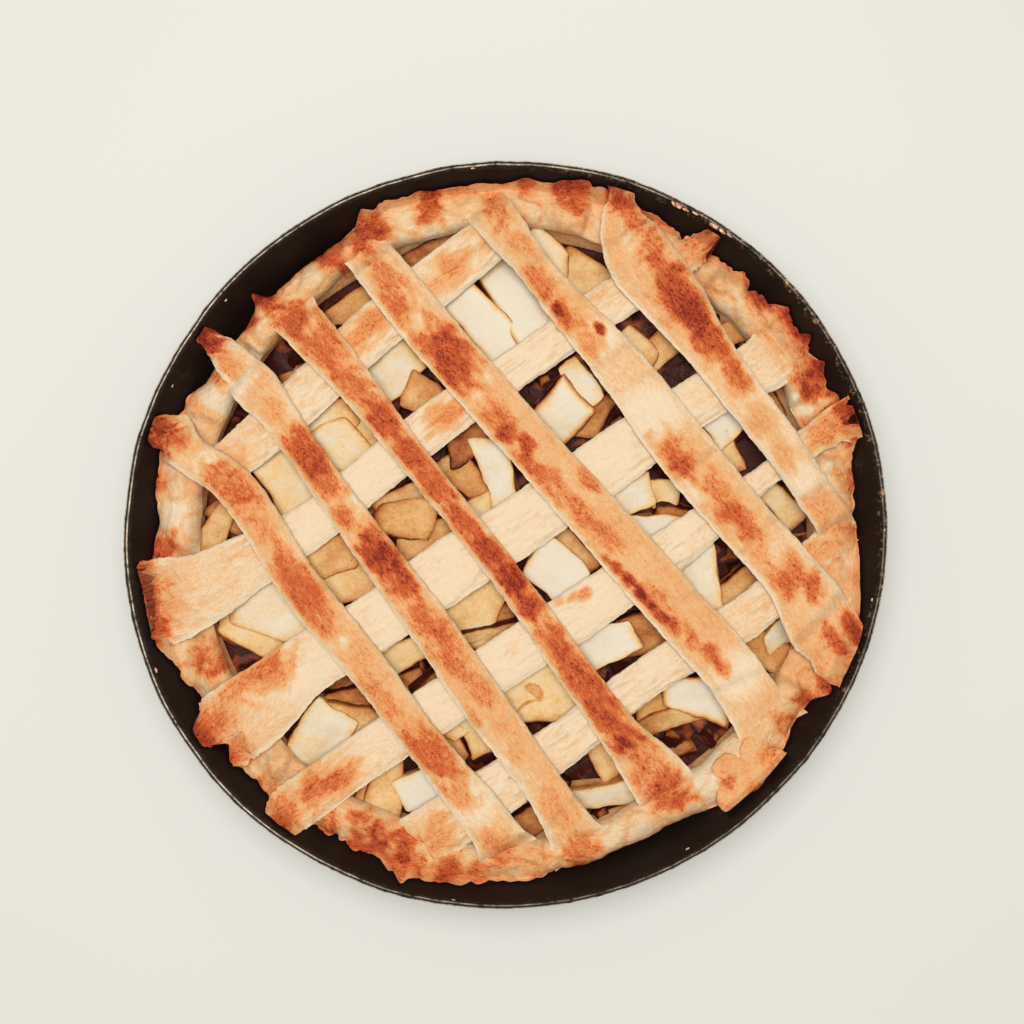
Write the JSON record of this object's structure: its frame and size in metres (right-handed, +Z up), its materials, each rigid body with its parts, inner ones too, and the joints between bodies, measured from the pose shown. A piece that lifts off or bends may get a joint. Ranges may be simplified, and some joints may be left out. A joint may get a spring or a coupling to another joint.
{
  "type": "lattice apple pie",
  "caption": "Baked apple pie with a woven-look strip lattice over cooked apple slices, in its flared round black tin.",
  "frame": {"origin": "centre of the tin's base, on the surface it stands on", "axes": "+Z up out of the tin; +Y away from the viewer and +X to the right in the picture, which looks straight down"},
  "size_m": [0.2794, 0.2736, 0.0479],
  "materials": {
    "black_tin": "worn black baking steel, bare along the hemmed rim",
    "baked_crust": "baked shortcrust, matt, browned on its high places",
    "under_lattice": "pale baked pastry strip, matt",
    "over_lattice": "pale baked pastry strip with browned blisters, matt",
    "baked_patch": "baked pastry patch, matt",
    "cooked_apple": "cooked apple slices, moist, with brown syrup between them"
  },
  "bodies": {
    "root": {"tin": "black_tin", "pastry_case": "baked_crust", "apple_filling": "cooked_apple", "under_strip_1": "under_lattice", "under_strip_2": "under_lattice", "under_strip_3": "under_lattice", "under_strip_4": "under_lattice", "under_strip_5": "under_lattice", "over_strip_1": "over_lattice", "over_strip_2": "over_lattice", "over_strip_3": "over_lattice", "over_strip_4": "over_lattice", "over_strip_5": "over_lattice", "over_strip_6": "over_lattice", "pastry_patch": "baked_patch"}
  },
  "joints": []
}
